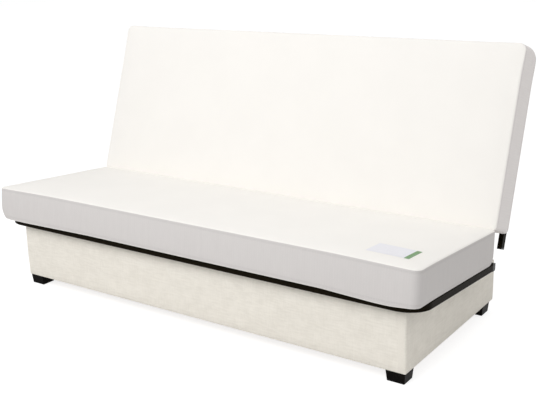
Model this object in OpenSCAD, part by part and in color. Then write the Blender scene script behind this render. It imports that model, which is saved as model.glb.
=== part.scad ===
// Click-clack sofa bed: two mattress halves on sprung steel frames over an upholstered bedding box.
// X runs along the length, the front faces -Y and the feet stand on Z = 0.

/* [Mattress] */
// Length of both mattress halves
mattress_len = 1900; // [1700:10:2000]
// Thickness of the foam halves
mattress_t = 125; // [115:1:130]
// Depth of the seat half, from its front face to the fold
seat_depth = 620; // [600:5:680]
// Height of the back half, from the fold to its top face
back_height = 670; // [620:5:720]
// Radius of the mattress corners, seen from above
mattress_corner_r = 30; // [20:1:60]
// Rise of the crown in the middle of a mattress face
crown = 5; // [2:1:8]
// Depth by which the borders draw in between their seams
border_draw = 2; // [1:0.5:4]
// Radius of the mattress edges away from the fold
mattress_edge_r = 9; // [5:1:14]
// Radius of the face edges at the fold
fold_edge_r = 20; // [20:1:24]
// Radius of the heel edges at the fold, on the frame side
heel_r = 38; // [36:1:44]

/* [Posture] */
// Slope of the seat, down to the rear, in degrees
seat_tilt = 4.6; // [4.2:0.1:5]
// Lean of the back from the vertical, in degrees
back_lean = 19.2; // [18.5:0.1:20]

/* [Bedding box] */
// Distance of the box ends from the mattress ends
box_end_inset = 70; // [60:1:90]
// Distance of the box rear behind the fold pivot
box_tail = 57; // [55:1:60]
// Distance from the seat's front to the box front
box_setback = 60; // [56:1:64]
// Height of the box front above its feet
box_h = 216; // [210:1:224]
// Thickness of the chipboard panels
panel_t = 18; // [15:1:19]
// Thickness of the fabric cover
cover_t = 2; // [1:0.5:3]
// Thickness of the hardboard bottom
bottom_t = 4; // [3:1:6]
// Height of the battens under the bottom
batten_h = 14; // [12:1:20]
// Width of the battens under the bottom
batten_w = 22; // [18:1:30]
// Side of the square corner posts
post_side = 40; // [36:1:44]
// Height of the corner posts
post_h = 105; // [80:1:110]

/* [Feet] */
// Height of a foot
foot_h = 42; // [38:1:46]
// Size of a foot's top along the length
foot_w = 65; // [60:1:70]
// Size of a foot's top from front to rear
foot_d = 60; // [56:1:66]
// Taper of each side of a foot
foot_taper = 4; // [2:1:6]
// Distance of the feet from the box ends
foot_end_inset = 6; // [4:1:10]
// Distance of the front feet from the box front
foot_front_inset = 6; // [4:1:10]
// Distance of the rear feet from the box rear
foot_rear_inset = 25; // [20:1:28]

/* [Tube frames] */
// Height of the seat frame tube
tube_h = 28; // [26:1:30]
// Gap between the box front and the seat tube above it
tube_gap = 15; // [12:1:20]
// Width of the frame tubes
tube_w = 18; // [16:1:18]
// Wall of the frame tubes
tube_wall = 1.5; // [1:0.25:2]
// Edge radius of the frame tubes
tube_edge_r = 4; // [3:0.5:5]
// Outer radius of the bends in the frame tubes
bend_r = 90; // [80:1:100]
// Overhang of the mattress in front of the seat tube
front_overhang = 26; // [22:1:30]
// Overhang of the mattress beside the seat tube
side_overhang = 3; // [2:1:4]
// Length of the seat tube beyond the fold, with its cap
seat_tube_tail = 24; // [20:1:26]
// Height of the back frame tube
back_tube_h = 34; // [32:1:36]
// Distance of the back tube from the end of the mattress
back_tube_inset = 26; // [25:1:28]
// Length of the back tube below the fold, with its cap
back_tube_tail = 66; // [60:1:70]
// Overhang of the mattress above the back tube
top_overhang = 25; // [20:1:30]

/* [Slats] */
// Number of slats in each frame
slat_count = 14; // [12:1:15]
// Width of a slat
slat_w = 53; // [45:1:58]
// Thickness of a slat
slat_t = 8; // [7:1:9]
// Length of the slat holders
holder_len = 26; // [22:1:30]
// Wall of the slat holders
holder_wall = 3; // [2:0.5:4]

/* [Mechanism] */
// Drop of the fold pivot below the mattress face
pivot_drop = 170; // [169:0.5:171]
// Length of the swing links between their pins
link_len = 197; // [195:1:198]
// Lean of the rear links towards the rear as a sofa, in degrees
link_lean = 62; // [61:0.5:63]
// Lean of the rear links towards the front as a bed, in degrees
link_reach = 40; // [39:0.5:41]
// Distance of the rear link pin from the fold pivot
rear_link_at = 100; // [96:1:104]
// Distance of the front link pin from the front end of the rail
rail_tip = 60; // [56:1:64]
// Length of the carriage rails in front of the fold pivot
rail_reach = 340; // [336:1:342]
// Height of the carriage rails
rail_h = 30; // [28:1:30]
// Width of the carriage rails and seat bearers
rail_w = 20; // [18:1:22]
// Thickness of the links
link_t = 6; // [5:0.5:6]
// Thickness of the lift plates and their bearings
plate_t = 4; // [3:0.5:4]
// Thickness of the hinge arms
arm_t = 8; // [6:0.5:8]
// Height of the hinge arms
arm_h = 26; // [22:1:26]
// Length of the hinge arms beyond their upper sleeves
arm_tip = 14; // [8:1:20]
// Radius of the link pins
pin_r = 5; // [4:0.5:5]
// Radius of the fold and lift pins
main_pin_r = 6; // [5:0.5:6.5]
// Radius of the cross tubes
cross_tube_r = 12; // [10:1:13]

/* [Hidden] */
overrun = 1;
fit = 0.08;
air = 0.3;
round_fn = 48;
bend_fn = 64;
half_len = mattress_len / 2;
box_front_top = foot_h + box_h;
seat_front_top = box_front_top + tube_gap + tube_h + mattress_t;
front_link_at = rail_reach - rail_tip;

// Places in the folding plane
fold_angle = 90 - back_lean + seat_tilt;
fold_run = pivot_drop * tan(fold_angle / 2);
fold_y = seat_depth * cos(seat_tilt);
fold_z = seat_front_top - seat_depth * sin(seat_tilt);
pivot_y = fold_y + fold_run * cos(seat_tilt) - pivot_drop * sin(seat_tilt);
pivot_z = fold_z - fold_run * sin(seat_tilt) - pivot_drop * cos(seat_tilt);

// Swing links: the rear pair keeps its stated leans and the front pair levels the bed
link_shift = link_len * (sin(link_lean) + sin(link_reach));
link_rise = link_len * (cos(link_reach) - cos(link_lean));
link_gap = front_link_at - rear_link_at;
rear_top = [pivot_y - rear_link_at * cos(seat_tilt), pivot_z + rear_link_at * sin(seat_tilt)];
front_top = [pivot_y - front_link_at * cos(seat_tilt), pivot_z + front_link_at * sin(seat_tilt)];
rear_foot = rear_top - link_len * [sin(link_lean), cos(link_lean)];
front_shift = link_shift + link_gap * (1 - cos(seat_tilt));
front_rise = link_rise - link_gap * sin(seat_tilt);
front_bias = atan(front_rise / front_shift);
front_half = asin(sqrt(front_shift * front_shift + front_rise * front_rise) / (2 * link_len));
front_lean = front_half + front_bias;
front_foot = front_top - link_len * [sin(front_lean), cos(front_lean)];

// Levels below the mattress face, the same in both frames
frame_top = mattress_t;
slat_gap = 0.5;
slat_top = mattress_t + slat_gap;
slat_under = slat_top + slat_t;
seat_tube_under = frame_top + tube_h;
back_tube_gap = 3;
back_tube_top = seat_tube_under + back_tube_gap;
back_tube_under = back_tube_top + back_tube_h;
rail_top = pivot_drop - rail_h / 2;
rail_under = pivot_drop + rail_h / 2;

// Stations along the length, from the middle outwards
box_half = half_len - box_end_inset;
panel_out = box_half - cover_t;
panel_in = panel_out - panel_t;
bearing_in = panel_in - plate_t;
plate_stand = 6;
plate_out = bearing_in - plate_stand;
plate_in = plate_out - plate_t;
link_stand = 2;
link_out = plate_in - link_stand;
link_in = link_out - link_t;
rail_stand = 6;
rail_out = link_in - rail_stand;
rail_in = rail_out - rail_w;
arm_stand = 8;
arm_out = rail_in - arm_stand;
arm_in = arm_out - arm_t;
seat_side_out = half_len - side_overhang;
seat_side_in = seat_side_out - tube_w;
back_side_out = half_len - back_tube_inset;
back_side_in = back_side_out - tube_w;

// The box
box_front = box_setback;
box_rear = pivot_y + box_tail;
box_front_in = box_front + cover_t + panel_t;
box_rear_in = box_rear - cover_t - panel_t;
bottom_z = foot_h + batten_h;
rear_drop = 58;
foot_x = box_half - foot_end_inset - foot_w / 2;
post_x = panel_in - post_side / 2;
front_foot_y = box_front + foot_front_inset + foot_d / 2;
rear_foot_y = box_rear - foot_rear_inset - foot_d / 2;
front_post_y = box_front_in + post_side / 2;
rear_post_y = box_rear_in - post_side / 2;
bolt_r = 4;
bolt_head_r = 8;
bolt_head_h = 6;
bolt_recess = 14;
bolt_bite = 40;
recess_r = 10;

// The frames
crossbar_w = 22;
seat_crossbar_y = -50;
back_low_bar_y = 81;
back_mid_bar_y = 228;
seat_front_y = -seat_depth + front_overhang;
seat_front_in = seat_front_y + tube_w;
back_top_y = back_height - top_overhang;
back_top_bar_y = back_top_y - tube_w - crossbar_w;
cap_len = 22;
cap_rise = 5;
slat_margin = 124;
slat_span = 2 * (half_len - slat_margin);
shoe_len = 30;
rear_shoe_y = -75;
front_shoe_inset = 38;
front_shoe_y = fold_run + front_shoe_inset - rail_reach;
shoe_flange = 6;
sleeve_len = 30;
arm_reach = fold_run + back_mid_bar_y + sleeve_len / 2 + arm_tip;
sleeve_wall = 5;

// The mechanism
eye_r = 15;
link_half = 11;
plate_half = 18;
plate_neck = 14;
boss_r = 16;
head_r = 8;
head_t = 2.5;
front_tube_back = 38;
front_tube_drop = 10;
rear_tube_back = 98;
rear_tube_rise = 8;
carriage_tube_r = 9;
carriage_tube_inset = 22;
carriage_tube_front = rail_reach - carriage_tube_inset;
carriage_tube_rear = 50;
slot_half = 6;
slot_play = 0.8;
slot_drop = 0.4;
rest_len = 30;
rest_y = (front_foot[0] + rear_foot[0]) / 2;
bearing_half = 34;
bearing_drop = 42;
bearing_r = boss_r - pin_r;
sector_t = 4;
sector_r = 42;
sector_teeth = 9;
tooth_pitch = 9;
tooth_depth = 4;

// The box of the whole object, which sets the origin in the middle of its foot
front_reach = -(mattress_t - mattress_edge_r) * sin(seat_tilt) - mattress_edge_r * (1 - cos(seat_tilt));
rear_reach = fold_y + (back_top_y - tube_edge_r) * sin(back_lean)
    + (back_tube_under - tube_edge_r) * cos(back_lean) + tube_edge_r;
origin_y = (front_reach + rear_reach) / 2;

// Frames of reference
module whole() { translate([0, -origin_y, 0]) children(); }
module seat_space() { whole() translate([0, fold_y, fold_z]) rotate([-seat_tilt, 0, 0]) children(); }
module back_space() { whole() translate([0, fold_y, fold_z]) rotate([90 - back_lean, 0, 0]) children(); }
module carriage_space() { whole() translate([0, pivot_y, pivot_z]) rotate([-seat_tilt, 0, 0]) children(); }
module arm_space() { whole() translate([0, pivot_y, pivot_z]) rotate([90 - back_lean, 0, 0]) children(); }
module both() {
    children();
    mirror([1, 0, 0]) children();
}
// An outline drawn in Y and Z, from one station along X to another
module along_x(x0, x1) { translate([x0, 0, 0]) rotate([90, 0, 90]) linear_extrude(x1 - x0) children(); }
module disc_x(r, x0, x1, at = [0, 0]) {
    translate([x0, at[0], at[1]]) rotate([0, 90, 0]) cylinder(r = r, h = x1 - x0, $fn = round_fn);
}
module block(low, high) { translate(low) cube(high - low); }
// A straight bar between two points, as an outline
module bar(a, b, half) {
    n = [-(b - a)[1], (b - a)[0]] * half / norm(b - a);
    polygon([a + n, a - n, b - n, b + n]);
}
module disc(r, at) { translate(at) circle(r = r, $fn = round_fn); }

// The bedding box: its rear panel is low, because the hinge arms pass over it
function rim(y) = box_front_top - (y - box_front) * tan(seat_tilt);
rear_top_z = rim(box_rear) - rear_drop;
module box_outline(y0, y1) { polygon([[y0, foot_h], [y1, foot_h], [y1, rim(y1)], [y0, rim(y0)]]); }
module front_panel() {
    color("tan") whole() along_x(-panel_out, panel_out) box_outline(box_front + cover_t, box_front_in);
}
module rear_panel() {
    color("tan") whole()
        block([-panel_in, box_rear_in, foot_h], [panel_in, box_rear - cover_t, rear_top_z]);
}
module end_panel() { whole() along_x(panel_in, panel_out) box_outline(box_front_in, box_rear - cover_t); }
module left_end_panel() { color("tan") mirror([1, 0, 0]) end_panel(); }
module right_end_panel() { color("tan") end_panel(); }
module box_cover() {
    color("linen") whole() difference() {
        along_x(-box_half, box_half) box_outline(box_front, box_rear);
        along_x(-panel_out, panel_out) polygon([
            [box_front + cover_t, foot_h - overrun], [box_rear - cover_t, foot_h - overrun],
            [box_rear - cover_t, box_front_top + overrun], [box_front + cover_t, box_front_top + overrun]]);
        block([-panel_in, box_rear_in, rear_top_z], [panel_in, box_rear + overrun, box_front_top]);
    }
}
module post_block(y) { block([post_x - post_side / 2, y - post_side / 2, foot_h],
    [post_x + post_side / 2, y + post_side / 2, foot_h + post_h]); }
module bottom_board() {
    color("burlywood") whole() difference() {
        block([-panel_in, box_front_in, bottom_z], [panel_in, box_rear_in, bottom_z + bottom_t]);
        both() post_block(front_post_y);
        both() post_block(rear_post_y);
    }
}
module bottom_battens() {
    reach = panel_in - post_side;
    color("burlywood") whole() {
        block([-reach, box_front_in, foot_h], [reach, box_front_in + batten_w, bottom_z]);
        block([-reach, box_rear_in - batten_w, foot_h], [reach, box_rear_in, bottom_z]);
    }
}
function bolt_at(foot_y, post_y) = [(foot_x + post_x) / 2, (foot_y + post_y) / 2, 0];
module bolt_holes(foot_y, post_y) {
    translate(bolt_at(foot_y, post_y)) {
        translate([0, 0, -overrun]) cylinder(r = recess_r, h = bolt_recess + overrun, $fn = round_fn);
        cylinder(r = bolt_r, h = foot_h + bolt_bite, $fn = round_fn);
    }
}
module corner_posts() {
    color("burlywood") whole() both() {
        difference() {
            post_block(front_post_y);
            bolt_holes(front_foot_y, front_post_y);
        }
        difference() {
            post_block(rear_post_y);
            bolt_holes(rear_foot_y, rear_post_y);
        }
    }
}
module foot_bolt(foot_y, post_y) {
    translate(bolt_at(foot_y, post_y)) {
        translate([0, 0, bolt_recess])
            cylinder(r = bolt_r, h = foot_h + bolt_bite - bolt_recess, $fn = round_fn);
        translate([0, 0, bolt_recess - bolt_head_h])
            cylinder(r = bolt_head_r, h = bolt_head_h, $fn = round_fn);
    }
}
module foot_bolts() {
    color("silver") whole() both() {
        foot_bolt(front_foot_y, front_post_y);
        foot_bolt(rear_foot_y, rear_post_y);
    }
}
module foot_outline(size) {
    half = size / 2;
    polygon([[-half + foot_taper, 0], [half - foot_taper, 0], [half, foot_h], [-half, foot_h]]);
}
module foot(foot_y, post_y) {
    whole() difference() {
        translate([foot_x, foot_y, 0]) intersection() {
            along_x(-foot_w / 2, foot_w / 2) foot_outline(foot_d);
            translate([0, foot_d / 2, 0]) rotate([90, 0, 0]) linear_extrude(foot_d) foot_outline(foot_w);
        }
        bolt_holes(foot_y, post_y);
    }
}
module front_left_foot() { color("black") mirror([1, 0, 0]) foot(front_foot_y, front_post_y); }
module front_right_foot() { color("black") foot(front_foot_y, front_post_y); }
module rear_left_foot() { color("black") mirror([1, 0, 0]) foot(rear_foot_y, rear_post_y); }
module rear_right_foot() { color("black") foot(rear_foot_y, rear_post_y); }

// Bearings on the end panels, on which the whole mechanism lifts
module lift_bearings() {
    at = [pivot_y, pivot_z];
    color("silver") whole() both() {
        along_x(bearing_in, panel_in) {
            disc(bearing_half / 2, at);
            bar(at, [pivot_y, pivot_z - bearing_drop], bearing_half / 2);
        }
        disc_x(boss_r / 2 + pin_r / 2, plate_out + fit, bearing_in, at);
        disc_x(main_pin_r, plate_in - plate_stand, bearing_in, at);
    }
}
module lift_nuts() {
    color("silver") whole() both() difference() {
        disc_x(boss_r - pin_r, plate_in - plate_t - fit, plate_in - fit, [pivot_y, pivot_z]);
        disc_x(main_pin_r, plate_in - boss_r, plate_in + overrun, [pivot_y, pivot_z]);
    }
}
function plate_under(y) = front_foot[1] - plate_half
    + (y - front_foot[0]) * (rear_foot[1] - front_foot[1]) / (rear_foot[0] - front_foot[0]);
module frame_rests() {
    top = plate_under(rest_y + rest_len / 2) - air;
    color("burlywood") whole() both()
        block([plate_in - air, rest_y - rest_len / 2, bottom_z + bottom_t],
            [panel_in, rest_y + rest_len / 2, top]);
}

// The lifting sub-frame
front_tube_at = front_foot - [front_tube_back, front_tube_drop];
rear_tube_at = rear_foot + [rear_tube_back, rear_tube_rise];
module lift_plate() {
    pivot = [pivot_y, pivot_z];
    whole() difference() {
        along_x(plate_in, plate_out) {
            disc(boss_r, pivot);
            bar(pivot, rear_foot, plate_neck);
            disc(plate_half, rear_foot);
            bar(rear_foot, front_foot, plate_neck);
            disc(plate_half, front_foot);
            bar(front_foot, front_tube_at, cross_tube_r);
            disc(boss_r, front_tube_at);
            bar(rear_foot, rear_tube_at, plate_neck);
            disc(plate_half, rear_tube_at);
        }
        disc_x(main_pin_r + fit, plate_in - overrun, plate_out + overrun, pivot);
        disc_x(pin_r, plate_in - overrun, plate_out + overrun, rear_foot);
        disc_x(pin_r, plate_in - overrun, plate_out + overrun, front_foot);
    }
}
module left_lift_plate() { color("dimgray") mirror([1, 0, 0]) lift_plate(); }
module right_lift_plate() { color("dimgray") lift_plate(); }
module cross_tube(r, reach, at) {
    difference() {
        disc_x(r, -reach, reach, at);
        disc_x(r - tube_wall, -reach - overrun, reach + overrun, at);
    }
}
module lift_cross_tubes() {
    color("dimgray") whole() {
        cross_tube(cross_tube_r, plate_in, front_tube_at);
        cross_tube(cross_tube_r, plate_in, rear_tube_at);
    }
}
module link_foot_pin(at) {
    disc_x(pin_r, link_in - head_t, plate_out + head_t, at);
    disc_x(head_r, plate_out, plate_out + head_t, at);
    disc_x(head_r, link_in - head_t - fit, link_in - fit, at);
    disc_x(head_r, link_out + fit, plate_in, at);
}
module link_foot_pins() {
    color("silver") whole() both() {
        link_foot_pin(rear_foot);
        link_foot_pin(front_foot);
    }
}

// Swing links
module link(low, high, low_r, high_r) {
    whole() difference() {
        along_x(link_in, link_out) {
            disc(eye_r, low);
            bar(low, high, link_half);
            disc(eye_r, high);
        }
        disc_x(low_r, link_in - overrun, link_out + overrun, low);
        disc_x(high_r, link_in - overrun, link_out + overrun, high);
    }
}
module rear_link() {
    color("dimgray") link(rear_foot, rear_top, pin_r + fit, pin_r + fit);
}
module front_link() {
    color("dimgray") link(front_foot, front_top, pin_r + fit, pin_r);
}
module left_rear_link() { mirror([1, 0, 0]) rear_link(); }
module right_rear_link() { rear_link(); }
module left_front_link() { mirror([1, 0, 0]) front_link(); }
module right_front_link() { front_link(); }
module front_slot_pins() {
    color("silver") whole() both() {
        disc_x(pin_r, rail_in + air, link_out, front_top);
        disc_x(head_r, link_out, link_out + link_stand - air, front_top);
        disc_x(head_r, rail_out + air, link_in, front_top);
    }
}

// The carriage
module rail_tube(y0, y1, z0, z1) {
    difference() {
        block([rail_in, y0, z0], [rail_out, y1, z1]);
        block([rail_in + tube_wall, y0 - overrun, z0 + tube_wall],
            [rail_out - tube_wall, y1 - rail_h, z1 - tube_wall]);
    }
}
module carriage_rail() {
    slot_front = [-front_link_at - slot_half, -slot_drop];
    slot_rear = [-front_link_at + slot_half, -slot_drop];
    carriage_space() difference() {
        union() {
            rail_tube(-rail_reach, 0, -rail_h / 2, rail_h / 2);
            disc_x(rail_h / 2, rail_in, rail_out);
        }
        disc_x(main_pin_r, rail_in - overrun, rail_out + overrun);
        disc_x(pin_r, rail_in - overrun, rail_out + overrun, [-rear_link_at, 0]);
        along_x(rail_in - overrun, rail_out + overrun) {
            disc(pin_r + slot_play, slot_front);
            bar(slot_front, slot_rear, pin_r + slot_play);
            disc(pin_r + slot_play, slot_rear);
        }
    }
}
module left_carriage_rail() { color("gray") mirror([1, 0, 0]) carriage_rail(); }
module right_carriage_rail() { color("gray") carriage_rail(); }
module carriage_cross_tubes() {
    drop = -rail_h / 2 - carriage_tube_r;
    color("gray") carriage_space() {
        cross_tube(carriage_tube_r, rail_out, [-carriage_tube_front, drop]);
        cross_tube(carriage_tube_r, rail_out, [-carriage_tube_rear, drop]);
    }
}
module rear_link_pins() {
    color("silver") whole() both() {
        disc_x(pin_r, rail_in, link_out + fit, rear_top);
        disc_x(head_r, rail_out, link_in - fit, rear_top);
        disc_x(head_r, link_out + fit, link_out + link_stand - air, rear_top);
    }
}
module fold_pins() {
    color("silver") carriage_space() both() {
        disc_x(main_pin_r, arm_in - sector_t - head_t - fit, rail_out + head_t);
        disc_x(head_r + fit, rail_out, rail_out + head_t);
        disc_x(head_r + fit, arm_in - sector_t - head_t - fit, arm_in - sector_t - fit);
    }
}
module fold_spacers() {
    color("silver") carriage_space() both() difference() {
        disc_x(boss_r - pin_r, arm_out + fit, rail_in);
        disc_x(main_pin_r, arm_out - overrun, rail_in + overrun);
    }
}

// Hinge arms, which turn on the fold pins and run in the back frame's sleeves
module hinge_arm() {
    arm_space() difference() {
        along_x(arm_in, arm_out) {
            disc(boss_r, [0, 0]);
            bar([0, 0], [arm_reach, 0], arm_h / 2);
        }
        disc_x(main_pin_r + fit, arm_in - overrun, arm_out + overrun);
    }
}
module left_hinge_arm() { color("dimgray") mirror([1, 0, 0]) hinge_arm(); }
module right_hinge_arm() { color("dimgray") hinge_arm(); }
// A toothed sector on each arm gives the clicking positions
function tooth_angle(i) = 180 - fold_angle / 2 + (i - sector_teeth / 2) * tooth_pitch;
function around(r, a) = r * [cos(a), sin(a)];
module sector_outline() {
    disc(boss_r, [0, 0]);
    polygon(concat(
        [around(bearing_r, tooth_angle(0))],
        [for (i = [0:sector_teeth], k = [0, 1])
            around(sector_r - (i == 0 || k == 0 ? tooth_depth : 0), tooth_angle(i - (1 - k) / 8))],
        [around(bearing_r, tooth_angle(sector_teeth))]));
}
module ratchet_sectors() {
    color("silver") arm_space() both() difference() {
        along_x(arm_in - sector_t, arm_in) sector_outline();
        disc_x(main_pin_r + fit, arm_in - sector_t - overrun, arm_in + overrun);
    }
}

// Sections and runs of the frame tubes, drawn with the tube's outer face on X = 0
module soft_rect(w, h, r) {
    translate([r, 0]) square([w - 2 * r, h]);
    translate([0, r]) square([w, h - 2 * r]);
    for (x = [r, w - r], z = [r, h - r]) translate([x, z]) circle(r = r, $fn = round_fn);
}
module tube_section(h) {
    inner_r = tube_edge_r - tube_wall;
    difference() {
        soft_rect(tube_w, h, tube_edge_r);
        translate([tube_wall, tube_wall]) soft_rect(tube_w - 2 * tube_wall, h - 2 * tube_wall, inner_r);
    }
}
// A side tube from one place along the frame to another, at the right-hand end
module side_run(x_out, y0, y1, under, h) {
    translate([x_out, y1, -under]) rotate([90, 0, 0]) mirror([1, 0, 0])
        linear_extrude(y1 - y0) tube_section(h);
}
// A quarter bend whose outer faces touch x_out and y_out, turned to the right-hand corner
module corner_bend(x_out, y_out, under, h, turn) {
    translate([x_out - bend_r, y_out - turn * bend_r, -under])
        rotate([0, 0, turn > 0 ? 0 : -90])
        rotate_extrude(angle = 90, $fn = bend_fn)
        translate([bend_r, 0]) mirror([1, 0]) tube_section(h);
}
module end_run(x_out, y_out, under, h, turn) {
    translate([-x_out + bend_r, y_out, -under]) rotate([90, 0, 90])
        linear_extrude(2 * x_out - 2 * bend_r) mirror([turn > 0 ? 1 : 0, 0]) tube_section(h);
}
module bent_tube(x_out, y_out, under, h, turn) {
    end_run(x_out, y_out, under, h, turn);
    both() corner_bend(x_out, y_out, under, h, turn);
}

// The seat frame
module seat_front_tube() {
    color("black") seat_space() bent_tube(seat_side_out, seat_front_y, seat_tube_under, tube_h, -1);
}
module seat_side_tube() {
    seat_space()
        side_run(seat_side_out, seat_front_y + bend_r, seat_tube_tail - cap_len, seat_tube_under, tube_h);
}
module seat_left_tube() { color("black") mirror([1, 0, 0]) seat_side_tube(); }
module seat_right_tube() { color("black") seat_side_tube(); }
// Caps that turn up under the rounded heel of the mattress
module seat_tube_caps() {
    y0 = seat_tube_tail - cap_len;
    top = -frame_top - slat_gap;
    color("black") seat_space() both() along_x(seat_side_in, seat_side_out)
        polygon([[y0, -seat_tube_under], [seat_tube_tail - cap_rise, -seat_tube_under],
            [seat_tube_tail, -seat_tube_under + cap_rise], [seat_tube_tail, top],
            [y0 + cap_rise, top + cap_rise], [y0, top + cap_rise]]);
}
// A square crossbar at one place along a frame, open at both ends
module crossbar(x, y, under, top) {
    y0 = y - crossbar_w / 2;
    y1 = y + crossbar_w / 2;
    difference() {
        block([-x, y0, under], [x, y1, top]);
        block([-x - overrun, y0 + tube_wall, under + tube_wall],
            [x + overrun, y1 - tube_wall, top - tube_wall]);
    }
}
module seat_crossbar() {
    color("black") seat_space() crossbar(seat_side_in, seat_crossbar_y, -seat_tube_under, -slat_under);
}
module seat_bearers() {
    rear = seat_crossbar_y - crossbar_w / 2;
    color("black") seat_space() both() difference() {
        block([rail_in, seat_front_in, -seat_tube_under], [rail_out, rear, -slat_under - holder_wall]);
        block([rail_in + tube_wall, seat_front_in - overrun, -seat_tube_under + tube_wall],
            [rail_out - tube_wall, rear + overrun, -slat_under - holder_wall - tube_wall]);
    }
}
module slide_shoe(y) {
    x = rail_in - shoe_flange;
    y0 = y - shoe_len / 2;
    y1 = y + shoe_len / 2;
    block([x, y0, -rail_top + fit], [rail_out, y1, -seat_tube_under]);
    block([x, y0, -rail_under], [rail_in - air, y1, -seat_tube_under]);
}
module slide_shoes() {
    color("white") seat_space() both() {
        slide_shoe(rear_shoe_y);
        slide_shoe(front_shoe_y);
    }
}

// Slats and their holders, spread over the frame
function slat_x(i) = slat_span * (i / (slat_count - 1) - 1 / 2);
module slat(i, y0, y1) {
    block([slat_x(i) - slat_w / 2, y0, -slat_under], [slat_x(i) + slat_w / 2, y1, -slat_top]);
}
// A cup around a slat's end: open towards the slat, closed at the far side
module slat_holder(i, y_end, way, under) {
    far = y_end + way * holder_wall;
    near = y_end - way * (holder_len - holder_wall);
    difference() {
        block([slat_x(i) - slat_w / 2 - holder_wall, min(far, near), -under],
            [slat_x(i) + slat_w / 2 + holder_wall, max(far, near), -slat_top]);
        block([slat_x(i) - slat_w / 2, min(y_end, near - way * overrun), -slat_under],
            [slat_x(i) + slat_w / 2, max(y_end, near - way * overrun), -slat_top + overrun]);
    }
}
seat_slat_front = seat_front_in + holder_wall;
seat_slat_rear = seat_crossbar_y + crossbar_w / 2;
module seat_slats() {
    color("wheat") seat_space() for (i = [0:slat_count - 1]) slat(i, seat_slat_front, seat_slat_rear);
}
module seat_slat_holders() {
    color("black") seat_space() for (i = [0:slat_count - 1]) {
        slat_holder(i, seat_slat_front, -1, slat_under + holder_wall);
        slat_holder(i, seat_slat_rear, 1, slat_under);
    }
}
back_slat_low = back_low_bar_y - crossbar_w / 2;
back_slat_high = back_top_bar_y + crossbar_w / 2;
module back_slats() {
    color("wheat") back_space() for (i = [0:slat_count - 1]) slat(i, back_slat_low, back_slat_high);
}
module back_slat_holders() {
    color("black") back_space() for (i = [0:slat_count - 1]) {
        slat_holder(i, back_slat_low, -1, slat_under);
        slat_holder(i, back_slat_high, 1, slat_under);
    }
}

// The back frame
module back_top_tube() {
    color("black") back_space() bent_tube(back_side_out, back_top_y, back_tube_under, back_tube_h, 1);
}
module back_side_tube() {
    back_space() side_run(back_side_out, -back_tube_tail + cap_rise, back_top_y - bend_r,
        back_tube_under, back_tube_h);
}
module back_left_tube() { color("black") mirror([1, 0, 0]) back_side_tube(); }
module back_right_tube() { color("black") back_side_tube(); }
module back_tube_caps() {
    color("black") back_space() both()
        side_cap(back_side_in, back_side_out, -back_tube_tail, -back_tube_tail + cap_rise,
            back_tube_under, back_tube_h);
}
module side_cap(x0, x1, y0, y1, under, h) {
    translate([x1, y1, -under]) rotate([90, 0, 0]) mirror([1, 0, 0])
        linear_extrude(y1 - y0) soft_rect(x1 - x0, h, tube_edge_r);
}
module back_crossbars() {
    color("black") back_space()
        for (y = [back_low_bar_y, back_mid_bar_y, back_top_bar_y])
            crossbar(back_side_out, y, -back_tube_top, -slat_under);
}
module arm_sleeve(y) {
    difference() {
        block([arm_in - sleeve_wall, y - sleeve_len / 2, -pivot_drop - arm_h / 2 - sleeve_wall],
            [arm_out + sleeve_wall, y + sleeve_len / 2, -back_tube_top]);
        block([arm_in - air, y - sleeve_len, -pivot_drop - arm_h / 2 - air],
            [arm_out + air, y + sleeve_len, -pivot_drop + arm_h / 2 + air]);
    }
}
module arm_sleeves() {
    color("white") back_space() both() {
        arm_sleeve(back_low_bar_y);
        arm_sleeve(back_mid_bar_y);
    }
}

// Foam mattress halves: rings of points from the frame side up to the crown.
// The fold lies at Y = 0 and the body of the half at positive Y.
corner_steps = 5;
function round_in(h, r) = h < r ? r - sqrt(r * r - (r - h) * (r - h)) : 0;
function border_in(h, t) = round_in(h, mattress_edge_r) + round_in(t - h, mattress_edge_r)
    + border_draw * sin(180 * h / t);
function fold_in(h, t) = round_in(h, heel_r) + round_in(t - h, fold_edge_r);
level_shares = [0, 0.02, 0.07, 0.16, 0.3, 0.5, 0.7, 0.84, 0.93, 0.98, 1];
face_shares = [0.06, 0.2, 0.45, 0.8];
face_reach_share = 0.45;
function ring(size, side_in, end_in, z) =
    let (r = max(mattress_corner_r - side_in, mattress_corner_r / 4), e = max(fold_edge_r - end_in, overrun),
        x = half_len - side_in, y0 = end_in, y1 = size - side_in)
    [for (i = [0:3], k = [0:corner_steps])
        let (c = [[x - r, y1 - r, r], [-x + r, y1 - r, r], [-x + e, y0 + e, e], [x - e, y0 + e, e]][i],
            a = 90 * (i + k / corner_steps))
        [c[0] + c[2] * cos(a), c[1] + c[2] * sin(a), z]];
module foam(size) {
    t = mattress_t;
    rings = concat(
        [for (s = level_shares) ring(size, border_in(s * t, t), fold_in(s * t, t), s * t - t)],
        [for (s = face_shares) ring(size, mattress_edge_r + s * face_reach_share * size,
            fold_edge_r + s * face_reach_share * size, crown * sin(90 * sqrt(s)))]);
    n = len(rings[0]);
    m = len(rings);
    polyhedron(
        points = [for (r = rings, p = r) p],
        faces = concat(
            [for (i = [0:m - 2], j = [0:n - 1], k = [0, 1])
                let (a = i * n + j, b = i * n + (j + 1) % n)
                k == 0 ? [a, a + n, b] : [b, a + n, b + n]],
            [for (j = [1:n - 2]) [0, j, j + 1]],
            [for (j = [1:n - 2]) [(m - 1) * n, (m - 1) * n + j + 1, (m - 1) * n + j]]));
}
module seat_mattress() { color("white") seat_space() mirror([0, 1, 0]) foam(seat_depth); }
module back_mattress() { color("white") back_space() foam(back_height); }

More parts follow.
